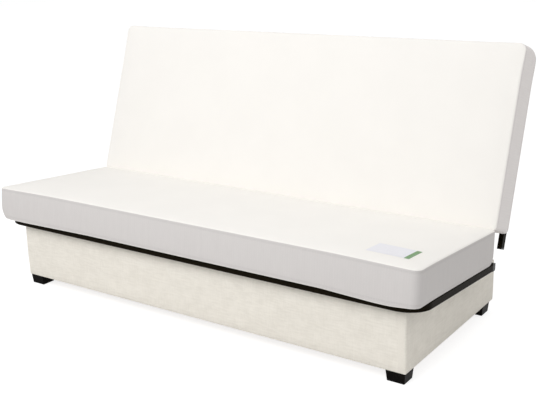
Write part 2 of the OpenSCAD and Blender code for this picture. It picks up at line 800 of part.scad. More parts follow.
front_panel();
rear_panel();
left_end_panel();
right_end_panel();
box_cover();
bottom_board();
bottom_battens();
corner_posts();
front_left_foot();
front_right_foot();
rear_left_foot();
rear_right_foot();
foot_bolts();
lift_bearings();
lift_nuts();
frame_rests();
left_lift_plate();
right_lift_plate();
lift_cross_tubes();
link_foot_pins();
left_rear_link();
right_rear_link();
left_front_link();
right_front_link();
front_slot_pins();
left_carriage_rail();
right_carriage_rail();
carriage_cross_tubes();
rear_link_pins();
fold_pins();
fold_spacers();
left_hinge_arm();
right_hinge_arm();
ratchet_sectors();
seat_front_tube();
seat_left_tube();
seat_right_tube();
seat_tube_caps();
seat_crossbar();
seat_bearers();
slide_shoes();
seat_slat_holders();
seat_slats();
seat_mattress();
back_top_tube();
back_left_tube();
back_right_tube();
back_tube_caps();
back_crossbars();
arm_sleeves();
back_slat_holders();
back_slats();
back_mattress();
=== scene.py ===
"""Looks of a click-clack sofa bed: foam halves, woven box cover, tubes, mechanism and studio."""

import logging
import math
from dataclasses import dataclass, field
from enum import Enum
from typing import Dict, List, Optional, Sequence, Tuple, Union

import bmesh
import bpy
import numpy as np
from mathutils import Matrix, Vector
from mathutils.bvhtree import BVHTree

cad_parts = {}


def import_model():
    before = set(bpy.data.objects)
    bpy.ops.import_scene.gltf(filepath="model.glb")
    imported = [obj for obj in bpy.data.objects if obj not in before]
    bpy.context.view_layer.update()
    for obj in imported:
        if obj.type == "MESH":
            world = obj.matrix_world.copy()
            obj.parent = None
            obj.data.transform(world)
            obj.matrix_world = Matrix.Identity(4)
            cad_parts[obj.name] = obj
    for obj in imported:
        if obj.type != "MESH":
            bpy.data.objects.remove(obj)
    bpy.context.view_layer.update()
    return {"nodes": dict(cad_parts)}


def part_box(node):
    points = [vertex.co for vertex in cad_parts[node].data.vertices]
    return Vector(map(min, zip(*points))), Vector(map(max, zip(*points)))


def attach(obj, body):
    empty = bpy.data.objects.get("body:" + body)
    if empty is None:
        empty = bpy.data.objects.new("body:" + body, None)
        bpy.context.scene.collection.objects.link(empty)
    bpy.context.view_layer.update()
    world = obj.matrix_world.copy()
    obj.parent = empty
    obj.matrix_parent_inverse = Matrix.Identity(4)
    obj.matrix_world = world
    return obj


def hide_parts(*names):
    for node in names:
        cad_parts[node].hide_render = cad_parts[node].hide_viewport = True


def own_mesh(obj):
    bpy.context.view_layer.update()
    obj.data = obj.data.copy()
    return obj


LOG = logging.getLogger("sofa_bed")
Colour = Tuple[float, float, float]
Point = Tuple[float, float, float]
Pair = Tuple[float, float]
Material = bpy.types.Material
# A border's level: its height over the underside, its draw-in, and its draw-in at the fold
Level = Tuple[float, float, float]
Value = Union["Wire", float]
WHITE = (1.0, 1.0, 1.0)
TURN = 2 * math.pi
MM = 0.001
# Rows of a border that lie closer than this count as one
TINY = 0.0004

# Sizes of the folding plane, the same as in the part's source
SEAT_TILT = math.radians(4.6)
BACK_LEAN = math.radians(19.2)
SEAT_DEPTH = 0.620
BACK_HEIGHT = 0.670
SEAT_FRONT_TOP = 0.426
ORIGIN_Y = 0.49956418
FOLD = Vector((0.0, SEAT_DEPTH * math.cos(SEAT_TILT) - ORIGIN_Y,
               SEAT_FRONT_TOP - SEAT_DEPTH * math.sin(SEAT_TILT)))
SEAT_SPACE = Matrix.Translation(FOLD) @ Matrix.Rotation(-SEAT_TILT, 4, "X")
BACK_SPACE = Matrix.Translation(FOLD) @ Matrix.Rotation(math.pi / 2 - BACK_LEAN, 4, "X")


def tint(red: float, green: float, blue: float) -> Colour:
    """Turns a display colour of 0 to 255 into the linear colour that a shader takes.

    Args:
        red: Display red.
        green: Display green.
        blue: Display blue.

    Returns:
        The linear colour.
    """
    def line(v: float) -> float:
        """Gives one channel's linear value, by the sRGB curve."""
        v = v / 255.0
        return v / 12.92 if v <= 0.04045 else ((v + 0.055) / 1.055) ** 2.4
    return (line(red), line(green), line(blue))


def clamp(value: float) -> float:
    """Keeps a value between 0 and 1."""
    return min(1.0, max(0.0, value))


def ease(value: float) -> float:
    """Rises smoothly from 0 to 1 as the value does."""
    share = clamp(value)
    return share ** 2 * (3 - 2 * share)


def round_in(height: float, radius: float) -> float:
    """Gives how far a rounded edge draws in at a height above it."""
    left = max(0.0, radius ** 2 - (radius - height) ** 2)
    return radius - math.sqrt(left) if height < radius else 0.0


def stand(name: str, data: bpy.types.ID) -> bpy.types.Object:
    """Adds an object to the scene.

    Args:
        name: The object's name.
        data: Its mesh, lamp or camera.

    Returns:
        The object.
    """
    thing = bpy.data.objects.new(name, data)
    bpy.context.scene.collection.objects.link(thing)
    return thing


def points_of(mesh: bpy.types.Mesh) -> np.ndarray:
    """Reads a mesh's points, one in each row."""
    return np.array([vertex.co for vertex in mesh.vertices], np.float32)


class Wire:
    """A socket of a shader. Arithmetic on it adds Math nodes."""

    def __init__(self, board: "Board", socket: bpy.types.NodeSocket) -> None:
        """Keeps the socket and the board that it lies on."""
        self.board = board
        self.socket = socket

    def math(self, operation: str, *values: Value) -> "Wire":
        """Adds a Math node of that operation on the values, and gives its result."""
        return self.board.node("ShaderNodeMath", {"operation": operation}, dict(enumerate(values)))

    def __add__(self, other: Value) -> "Wire":
        """Adds."""
        return self.math("ADD", self, other)

    def __radd__(self, other: float) -> "Wire":
        """Adds, from the right."""
        return self.math("ADD", other, self)

    def __sub__(self, other: Value) -> "Wire":
        """Subtracts."""
        return self.math("SUBTRACT", self, other)

    def __rsub__(self, other: float) -> "Wire":
        """Subtracts, from the right."""
        return self.math("SUBTRACT", other, self)

    def __mul__(self, other: Value) -> "Wire":
        """Multiplies."""
        return self.math("MULTIPLY", self, other)

    def __rmul__(self, other: float) -> "Wire":
        """Multiplies, from the right."""
        return self.math("MULTIPLY", other, self)

    def sine(self) -> "Wire":
        """Takes the sine."""
        return self.math("SINE", self)

    def least(self, other: Value) -> "Wire":
        """Takes the smaller value."""
        return self.math("MINIMUM", self, other)

    def most(self, other: Value) -> "Wire":
        """Takes the larger value."""
        return self.math("MAXIMUM", self, other)

    def size(self) -> "Wire":
        """Takes the value without its sign."""
        return self.math("ABSOLUTE", self)

    def step(self, low: float, high: float) -> "Wire":
        """Rises smoothly from 0 at low to 1 at high."""
        return self.board.node("ShaderNodeMapRange", {"interpolation_type": "SMOOTHSTEP"},
                               {0: self, 1: low, 2: high, 3: 0.0, 4: 1.0})

    def near(self, low: float, high: float) -> "Wire":
        """Gives 1 up to low, and falls smoothly to 0 at high."""
        return 1 - self.step(low, high)

    def wave(self, pitch: float, shift: Value = 0.0) -> "Wire":
        """Gives a wave between 0 and 1, of that pitch in metres, shifted by an angle."""
        return (self * (TURN / pitch) + shift).sine() * 0.5 + 0.5

    def dashes(self, pitch: float, fade: Pair = (-0.35, 0.1)) -> "Wire":
        """Gives 1 along each stitch of a row of that pitch, and fades to 0 between them."""
        return (self * (TURN / pitch)).sine().step(*fade)


class Board:
    """A node tree that nodes are laid on."""

    def __init__(self, tree: bpy.types.NodeTree) -> None:
        """Takes the tree and empties it."""
        self.tree = tree
        self.tree.nodes.clear()

    def node(self, kind: str, settings: Optional[dict] = None, values: Optional[dict] = None,
             out: Union[int, str] = 0) -> Wire:
        """Adds any node.

        Args:
            kind: Blender's type of the node.
            settings: Its properties, set first; "stops" holds a ramp's (place, colour) pairs.
            values: Values or wires for its sockets, by name or number.
            out: The output to return.

        Returns:
            The wire of that output.
        """
        node = self.tree.nodes.new(kind)
        for name, value in (settings or {}).items():
            if name == "stops":
                ramp = node.color_ramp.elements
                while len(ramp) < len(value):
                    ramp.new(0.5)
                for element, (place, colour) in zip(ramp, value):
                    element.position = place
                    element.color = (*colour, 1.0)
            else:
                setattr(node, name, value)
        for key, value in (values or {}).items():
            self.feed(node.inputs[key], value)
        return Wire(self, node.outputs[out])

    def feed(self, socket: bpy.types.NodeSocket, value: object) -> None:
        """Sets a socket to a value, or links a wire to it.

        Args:
            socket: The socket.
            value: A number, a colour, a vector or a wire.
        """
        if isinstance(value, Wire):
            self.tree.links.new(value.socket, socket)
        elif socket.type == "RGBA" and not isinstance(value, (int, float)):
            socket.default_value = (*value[:3], 1.0)
        else:
            socket.default_value = value

    def end(self, kind: str, surface: Wire) -> None:
        """Adds the output node of that type, and feeds it the surface."""
        self.feed(self.tree.nodes.new(kind).inputs["Surface"], surface)

    def end_split(self, kind: str, plain: Wire, shown: Wire) -> None:
        """Adds the output node, for what lights the scene in one way and is seen in another."""
        self.end(kind, self.node("ShaderNodeMixShader", None, {0: self.seen(), 1: plain, 2: shown}))

    def seen(self) -> Wire:
        """Gives 1 where a surface is met by the camera, a reflection or a see-through ray."""
        rays = [self.node("ShaderNodeLightPath", out=name)
                for name in ("Is Camera Ray", "Is Glossy Ray", "Is Transmission Ray")]
        return rays[0].most(rays[1]).most(rays[2])


class Sheet(Board):
    """The node tree of one material, with its main shader."""

    def __init__(self, name: str) -> None:
        """Starts a material with an empty Principled shader.

        Args:
            name: The material's name.
        """
        self.material = bpy.data.materials.new(name)
        self.material.use_nodes = True
        super().__init__(self.material.node_tree)
        self.shader = self.tree.nodes.new("ShaderNodeBsdfPrincipled")
        self.end("ShaderNodeOutputMaterial", Wire(self, self.shader.outputs[0]))

    def place(self, *scale: float) -> Wire:
        """Gives the surface's point in its piece's own frame, in metres, scaled axis by axis."""
        point = self.node("ShaderNodeTexCoord", out="Object")
        return self.stretch(point, scale) if scale else point

    def cloth(self, axis: int) -> Wire:
        """Gives one of the cloth's own coordinates in metres: 0 along the cloth, 1 across it."""
        point = self.node("ShaderNodeAttribute", {"attribute_name": "cloth"}, out="Vector")
        return self.node("ShaderNodeSeparateXYZ", None, {0: point}, out=axis)

    def stretch(self, point: Wire, scale: Tuple[float, ...]) -> Wire:
        """Scales a point axis by axis, by three factors."""
        return self.node("ShaderNodeVectorMath", {"operation": "MULTIPLY"}, {0: point, 1: scale})

    def noise(self, scale: float, detail: float = 3.0, rough: float = 0.55,
              point: Optional[Wire] = None) -> Wire:
        """Adds a noise of that scale per metre, octaves and roughness, with a mean of 0.5."""
        return self.node("ShaderNodeTexNoise", None, {
            "Vector": point or self.place(), "Scale": scale, "Detail": detail, "Roughness": rough})

    def mix(self, share: Value, low: Union[Wire, Colour], high: Union[Wire, Colour]) -> Wire:
        """Mixes two colours; the share is that of the second."""
        return self.node("ShaderNodeMix", {"data_type": "RGBA"}, {0: share, 6: low, 7: high}, out=2)

    def bump(self, height: Wire, depth: float) -> None:
        """Bends the surface's normal; the depth in metres is that of a height of 1."""
        relief = {"Height": height, "Distance": depth, "Strength": 1.0}
        self.feed(self.shader.inputs["Normal"], self.node("ShaderNodeBump", None, relief, "Normal"))

    def finish(self, **sockets: object) -> Material:
        """Feeds the main shader and gives the material.

        Args:
            sockets: Values by socket name, with _ for a space.

        Returns:
            The material.
        """
        for name, value in sockets.items():
            self.feed(self.shader.inputs[name.replace("_", " ")], value)
        return self.material


@dataclass(frozen=True)
class Finish:
    """What every finish has: a name, a colour and a roughness."""

    name: str
    colour: Colour
    roughness: float

    def make(self) -> Material:
        """Makes the material once, and gives the same one after that."""
        return bpy.data.materials.get(self.name) or self.paint(Sheet(self.name))

    def shade(self, *factors: float) -> Colour:
        """Scales the colour by one factor, or by one for each channel, at most to white."""
        return tuple(min(1.0, c * f) for c, f in zip(self.colour, factors * 3))

    def uneven(self, pattern: Wire, spread: float) -> Wire:
        """Spreads the roughness evenly about its mean, after a pattern of 0 to 1."""
        return pattern * spread + (self.roughness - spread / 2)

    def paint(self, sheet: Sheet) -> Material:
        """Fills the sheet; each finish has its own way.

        Args:
            sheet: The new material's sheet.

        Returns:
            The material.
        """
        raise NotImplementedError


@dataclass(frozen=True)
class TickingCloth(Finish):
    """Smooth knitted mattress cloth: fine loops over a slightly uneven foam."""

    loop: float = 0.0022
    foam_scale: float = 9.0
    tone_scale: float = 5.0
    relief: float = 0.0011

    def paint(self, sheet: Sheet) -> Material:
        """Adds loops, a faint unevenness and a slight change of tone.

        Args:
            sheet: The new material's sheet.

        Returns:
            The material.
        """
        along, across = sheet.cloth(0), sheet.cloth(1)
        turn = TURN / self.loop
        loops = (along * turn).sine() * (across * turn * 0.7).sine() * 0.5 + 0.5
        soft, tone = sheet.noise(self.foam_scale, 2.0), sheet.noise(self.tone_scale)
        sheet.bump(loops * 0.1 + soft, self.relief)
        return sheet.finish(
            Base_Color=sheet.mix(tone.step(0.3, 0.72), self.shade(0.985), self.colour),
            Roughness=self.roughness, Sheen_Weight=0.15, Sheen_Roughness=0.5)


@dataclass(frozen=True)
class BorderCloth(Finish):
    """Grey mattress border: fine upright ribs and a row of stitches along each seam, with painted
    shade beside each row.
    """

    rib: float = 0.0095
    pick: float = 0.0024
    stitch: float = 0.0056
    rows: Pair = (0.0115, 0.1150)
    # Where the thread, and the pucker round it with its painted seam shade, start to fade and end,
    # from the row's middle
    thread_fade: Pair = (0.0004, 0.0011)
    pull_fade: Pair = (0.0006, 0.0045)
    drift_scale: float = 14.0
    tone_scale: float = 60.0
    fine_scale: float = 420.0
    relief: float = 0.0006

    def paint(self, sheet: Sheet) -> Material:
        """Adds the ribs, their cross weave, a mottled tone, the stitches and a painted shade along
        each seam row.

        Args:
            sheet: The new material's sheet.

        Returns:
            The material.
        """
        along, across = sheet.cloth(0), sheet.cloth(1)
        ribs = along.wave(self.rib, sheet.noise(self.drift_scale, 2.0) * 1.6)
        picks = across.wave(self.pick)
        tone = sheet.noise(self.tone_scale, 4.0, point=sheet.place(1.0, 1.0, 0.25))
        fine = sheet.noise(self.fine_scale, 2.0, point=sheet.place(1.0, 1.0, 0.6))
        share = ribs * 0.12 + tone * 0.5 + fine * 0.38
        row = (across - self.rows[0]).size().least((across - self.rows[1]).size())
        thread = row.near(*self.thread_fade) * along.dashes(self.stitch)
        pull = row.near(*self.pull_fade)
        ground = sheet.mix(share.step(0.2, 0.8), self.shade(0.975), self.shade(1.025))
        # Painted seam shade: the cloth is darkened along each seam row, by the pucker's mask.
        cloth = sheet.mix(pull * 0.4, ground, self.shade(0.78))
        sheet.bump(ribs * 0.16 + picks * 0.12 + tone * 0.3 + thread * 0.6 - pull * 0.7, self.relief)
        return sheet.finish(Base_Color=sheet.mix(thread * 0.8, cloth, self.shade(1.14)),
                            Roughness=self.roughness, Sheen_Weight=0.1)


@dataclass(frozen=True)
class WovenCover(Finish):
    """Cream chenille of the box: slubbed yarns, lighter and darker in streaks."""

    yarn: float = 0.0026
    stitch: float = 0.005
    hem: float = 0.056
    thread_fade: Pair = (0.0004, 0.001)
    pull_fade: Pair = (0.0006, 0.004)
    slub_scale: Point = (22.0, 150.0, 1.0)
    cross_scale: Point = (150.0, 26.0, 1.0)
    patch_scale: float = 17.0
    relief: float = 0.0007

    def paint(self, sheet: Sheet) -> Material:
        """Adds yarns both ways, long slubs and a mottled tone.

        Args:
            sheet: The new material's sheet.

        Returns:
            The material.
        """
        along, across = sheet.cloth(0), sheet.cloth(1)
        weft, warp = across.wave(self.yarn), along.wave(self.yarn)
        point = sheet.node("ShaderNodeCombineXYZ", None, {0: along, 1: across})
        slubs = sheet.noise(1.0, 4.0, 0.6, sheet.stretch(point, self.slub_scale))
        cross = sheet.noise(1.0, 3.0, 0.6, sheet.stretch(point, self.cross_scale))
        patch = sheet.noise(self.patch_scale, 4.0, 0.6, point)
        share = (slubs * 0.4 + cross * 0.25 + patch * 0.35).step(0.36, 0.64)
        row = (across - self.hem).size()
        thread = row.near(*self.thread_fade) * along.dashes(self.stitch)
        pull = row.near(*self.pull_fade)
        sheet.bump(weft * 0.2 + warp * 0.15 + slubs * 0.3 + cross * 0.2 + thread * 0.5 - pull * 0.5,
                   self.relief)
        return sheet.finish(
            Base_Color=sheet.mix(share, self.shade(0.93, 0.925, 0.915), self.shade(1.035)),
            Roughness=self.roughness, Sheen_Weight=0.2)


@dataclass(frozen=True)
class GlossPaint(Finish):
    """Black stove enamel, glossy, with a little orange peel."""

    peel: float
    shine: float
    mark_scale: float = 18.0
    relief: float = 0.0002

    def paint(self, sheet: Sheet) -> Material:
        """Adds the orange peel and faint handling marks.

        Args:
            sheet: The new material's sheet.

        Returns:
            The material.
        """
        marks = sheet.noise(self.mark_scale, 5.0, 0.7)
        sheet.bump(sheet.noise(self.peel, 2.0), self.relief)
        return sheet.finish(
            Base_Color=sheet.mix(marks.step(0.55, 0.8), self.colour, self.shade(1.8)),
            Roughness=self.uneven(marks, 0.12), Specular_IOR_Level=self.shine)


@dataclass(frozen=True)
class SatinPaint(Finish):
    """Dark satin paint of the mechanism, thin along worn places."""

    wear: float = 0.35
    bare: Colour = (0.22, 0.215, 0.2)
    grain: float = 420.0
    wear_scale: float = 34.0
    relief: float = 0.00025

    def paint(self, sheet: Sheet) -> Material:
        """Adds a fine texture and worn, greyer places.

        Args:
            sheet: The new material's sheet.

        Returns:
            The material.
        """
        grain = sheet.noise(self.grain, 2.0)
        worn = sheet.noise(self.wear_scale, 6.0, 0.7).step(0.62, 0.76) * self.wear
        sheet.bump(grain, self.relief)
        return sheet.finish(Base_Color=sheet.mix(worn, self.colour, self.bare), Metallic=worn,
                            Roughness=self.uneven(grain, 0.14) - worn * 0.2)


@dataclass(frozen=True)
class ZincPlate(Finish):
    """Zinc-plated steel with fine brushing and a blotchy dullness."""

    brush: float = 900.0
    dull_scale: float = 60.0
    relief: float = 0.00008

    def paint(self, sheet: Sheet) -> Material:
        """Adds the brushing and the dull blotches.

        Args:
            sheet: The new material's sheet.

        Returns:
            The material.
        """
        brushed = sheet.noise(self.brush, 2.0, point=sheet.place(0.06, 1.0, 1.0))
        dull = sheet.noise(self.dull_scale, 5.0, 0.65)
        sheet.bump(brushed, self.relief)
        return sheet.finish(
            Base_Color=sheet.mix(dull.step(0.35, 0.7), self.colour, self.shade(0.72)),
            Roughness=brushed * 0.15 + dull * 0.2 + (self.roughness - 0.17), Metallic=1.0)


@dataclass(frozen=True)
class Moulded(Finish):
    """Moulded plastic with a fine spark-eroded grain."""

    grain: float = 700.0
    tone_scale: float = 30.0
    relief: float = 0.0002

    def paint(self, sheet: Sheet) -> Material:
        """Adds the grain and a slight change of tone.

        Args:
            sheet: The new material's sheet.

        Returns:
            The material.
        """
        grain, tone = sheet.noise(self.grain, 2.0), sheet.noise(self.tone_scale)
        sheet.bump(grain, self.relief)
        return sheet.finish(
            Base_Color=sheet.mix(tone.step(0.3, 0.7), self.shade(0.86), self.colour),
            Roughness=self.uneven(grain, 0.12))


@dataclass(frozen=True)
class ChipBoard(Finish):
    """Raw chipboard: pressed flakes of several woods."""

    flake: float = 210.0
    fine_scale: float = 900.0
    relief: float = 0.0004

    def paint(self, sheet: Sheet) -> Material:
        """Adds flakes of three tones and the gaps between them.

        Args:
            sheet: The new material's sheet.

        Returns:
            The material.
        """
        cells = {"Vector": sheet.place(0.7, 1.0, 1.0), "Scale": self.flake, "Randomness": 1.0}
        flakes = sheet.node("ShaderNodeTexVoronoi", {"feature": "F1"}, cells, "Color")
        tone = sheet.node("ShaderNodeSeparateColor", None, {0: flakes}, 0)
        fine = sheet.noise(self.fine_scale)
        stops = [(0.0, self.shade(0.62)), (0.45, self.colour), (1.0, self.shade(1.25))]
        wood = sheet.node("ShaderNodeValToRGB", {"stops": stops}, {0: tone * 0.75 + fine * 0.25})
        sheet.bump(tone * 0.5 + fine * 0.5, self.relief)
        return sheet.finish(Base_Color=wood, Roughness=self.roughness)


@dataclass(frozen=True)
class HardBoard(Finish):
    """Brown hardboard, smooth on one side, with fine fibres."""

    fibre: float = 320.0
    relief: float = 0.0002

    def paint(self, sheet: Sheet) -> Material:
        """Adds the fibres.

        Args:
            sheet: The new material's sheet.

        Returns:
            The material.
        """
        fibres = sheet.noise(self.fibre, 5.0, 0.7)
        sheet.bump(fibres, self.relief)
        return sheet.finish(
            Base_Color=sheet.mix(fibres.step(0.35, 0.65), self.shade(0.7), self.colour),
            Roughness=self.uneven(fibres, 0.2))


@dataclass(frozen=True)
class BeechPly(Finish):
    """Beech slats with long grain and short flecks."""

    grain: float = 46.0
    fleck_scale: float = 900.0
    relief: float = 0.0002

    def paint(self, sheet: Sheet) -> Material:
        """Adds long grain lines and the short flecks of beech.

        Args:
            sheet: The new material's sheet.

        Returns:
            The material.
        """
        long = sheet.noise(self.grain * 4, 4.0, 0.6, sheet.place(1.0, 0.06, 0.06))
        wide = sheet.noise(self.grain, point=sheet.place(1.0, 0.1, 0.1))
        fleck = sheet.noise(self.fleck_scale, 1.0, point=sheet.place(1.0, 0.2, 0.2))
        fleck = fleck.step(0.62, 0.7)
        share = (long * 0.55 + wide * 0.45).step(0.35, 0.68)
        wood = sheet.mix(share, self.shade(0.74, 0.68, 0.6), self.colour)
        sheet.bump(long * 0.6 + fleck * 0.4, self.relief)
        return sheet.finish(Base_Color=sheet.mix(fleck * 0.5, wood, self.shade(0.55)),
                            Roughness=long * 0.15 + (self.roughness - 0.07), Coat_Weight=0.15)


@dataclass(frozen=True)
class SatinTape(Finish):
    """Woven satin of the small label, stitched down along its edges."""

    size: Pair = (0.152, 0.099)
    margin: float = 0.0035
    stitch: float = 0.0032
    thread_fade: Pair = (0.0003, 0.0009)
    weave_scale: float = 1500.0
    relief: float = 0.0004
    thread: Colour = tint(246, 246, 250)

    def paint(self, sheet: Sheet) -> Material:
        """Adds the fine satin weave and the stitches.

        Args:
            sheet: The new material's sheet.

        Returns:
            The material.
        """
        weave = sheet.noise(self.weave_scale, 2.0, point=sheet.place(0.25, 1.0, 1.0))
        axes = (sheet.cloth(0), sheet.cloth(1))
        rows = []
        for across, along, size in zip(axes, axes[::-1], self.size):
            row = ((across - size / 2).size() - (size / 2 - self.margin)).size()
            rows.append(row.near(*self.thread_fade) * along.dashes(self.stitch, (-0.3, 0.2)))
        seam = rows[0].most(rows[1])
        sheet.bump(weave * 0.3 + seam * 0.7, self.relief)
        satin = sheet.mix(weave.step(0.3, 0.7), self.shade(0.9), self.colour)
        return sheet.finish(Base_Color=sheet.mix(seam * 0.6, satin, self.thread),
                            Roughness=self.roughness, Sheen_Weight=0.1)


TICKING = TickingCloth("mattress_ticking", tint(250, 247, 242), 0.85)
BORDER = BorderCloth("mattress_border", tint(211, 207, 205), 0.9)
# The seat's border cloth again, painted lighter: this lit copy stands in for the stronger light
# that falls on the back's side border.
BACK_BORDER_PAINTED_LIGHTER = BorderCloth("back_border_painted_lighter", tint(243, 238, 236), 0.9)
WOVEN = WovenCover("box_chenille", tint(242, 237, 227), 0.92)
ENAMEL = GlossPaint("black_enamel", tint(24, 20, 12), 0.28, 240.0, 0.012)
FOOT_GLOSS = GlossPaint("foot_lacquer", tint(17, 15, 14), 0.26, 90.0, 0.02)
STEEL_PAINT = SatinPaint("mechanism_satin", tint(62, 62, 63), 0.42)
ZINC = ZincPlate("zinc_plate", tint(202, 203, 200), 0.38)
BLACK_CAP = Moulded("black_cap", tint(34, 34, 34), 0.5)
NYLON = Moulded("white_nylon", tint(228, 226, 218), 0.45)
CHIP = ChipBoard("raw_chipboard", tint(205, 178, 140), 0.85)
HARD = HardBoard("brown_hardboard", tint(158, 120, 84), 0.6)
BEECH = BeechPly("beech_lamella", tint(226, 194, 150), 0.45)
LABEL_CLOTH = SatinTape("label_satin", tint(243, 242, 247), 0.55)
LABEL_BAND = SatinTape("label_green", tint(108, 152, 98), 0.55)


def both(*names: str) -> Tuple[str, ...]:
    """Gives the left and the right node of each name."""
    return tuple(side + name for name in names for side in ("left_", "right_"))


class Part(Enum):
    """Finishes of the CAD nodes that keep their own shape."""

    BOARD = (CHIP, ("front_panel", "rear_panel", "left_end_panel", "right_end_panel",
                    "bottom_battens", "corner_posts", "frame_rests"))
    BOTTOM = (HARD, ("bottom_board",))
    TUBE = (ENAMEL, ("seat_front_tube", "seat_left_tube", "seat_right_tube", "seat_crossbar",
                     "seat_bearers", "back_top_tube", "back_left_tube", "back_right_tube",
                     "back_crossbars"))
    CAP = (BLACK_CAP, ("seat_tube_caps", "back_tube_caps", "seat_slat_holders",
                       "back_slat_holders"))
    MECHANISM = (STEEL_PAINT, ("lift_cross_tubes", "carriage_cross_tubes") + both(
        "lift_plate", "rear_link", "front_link", "carriage_rail", "hinge_arm"))
    PLATED = (ZINC, ("foot_bolts", "lift_bearings", "lift_nuts", "link_foot_pins",
                     "front_slot_pins", "rear_link_pins", "fold_pins", "fold_spacers",
                     "ratchet_sectors"))
    GLIDE = (NYLON, ("slide_shoes", "arm_sleeves"))
    SLAT = (BEECH, ("seat_slats", "back_slats"))


def dress_nodes(nodes: Dict[str, bpy.types.Object]) -> None:
    """Gives each CAD node that stays its finish.

    Args:
        nodes: The CAD nodes by name.
    """
    for part in Part:
        finish, names = part.value
        for name in names:
            mesh = nodes[name].data
            mesh.materials.clear()
            mesh.materials.append(finish.make())
        LOG.info("%s: %d nodes in %s", part.name.lower(), len(names), finish.name)


def new_piece(name: str, points: Sequence, faces: Sequence, finishes: Sequence[Finish],
              space: Matrix = Matrix.Identity(4), slots: Optional[Sequence[int]] = None,
              cloth: Optional[np.ndarray] = None) -> bpy.types.Object:
    """Makes a smoothly shaded piece from points and faces.

    Args:
        name: The piece's name.
        points: The points, in the piece's own frame.
        faces: The faces as indices of points.
        finishes: The finishes, one for each slot.
        space: Where the piece's own frame lies.
        slots: The slot of each face.
        cloth: The cloth's coordinates at each point.

    Returns:
        The piece.
    """
    mesh = bpy.data.meshes.new(name)
    mesh.from_pydata([tuple(p) for p in points], [], [tuple(f) for f in faces])
    for finish in finishes:
        mesh.materials.append(finish.make())
    if slots is not None:
        mesh.polygons.foreach_set("material_index", list(slots))
    mesh.polygons.foreach_set("use_smooth", [True] * len(mesh.polygons))
    if cloth is not None:
        data = mesh.attributes.new("cloth", "FLOAT_VECTOR", "POINT")
        data.data.foreach_set("vector", np.asarray(cloth, np.float32).ravel())
    mesh.update()
    piece = stand(name, mesh)
    piece.matrix_world = space
    return piece


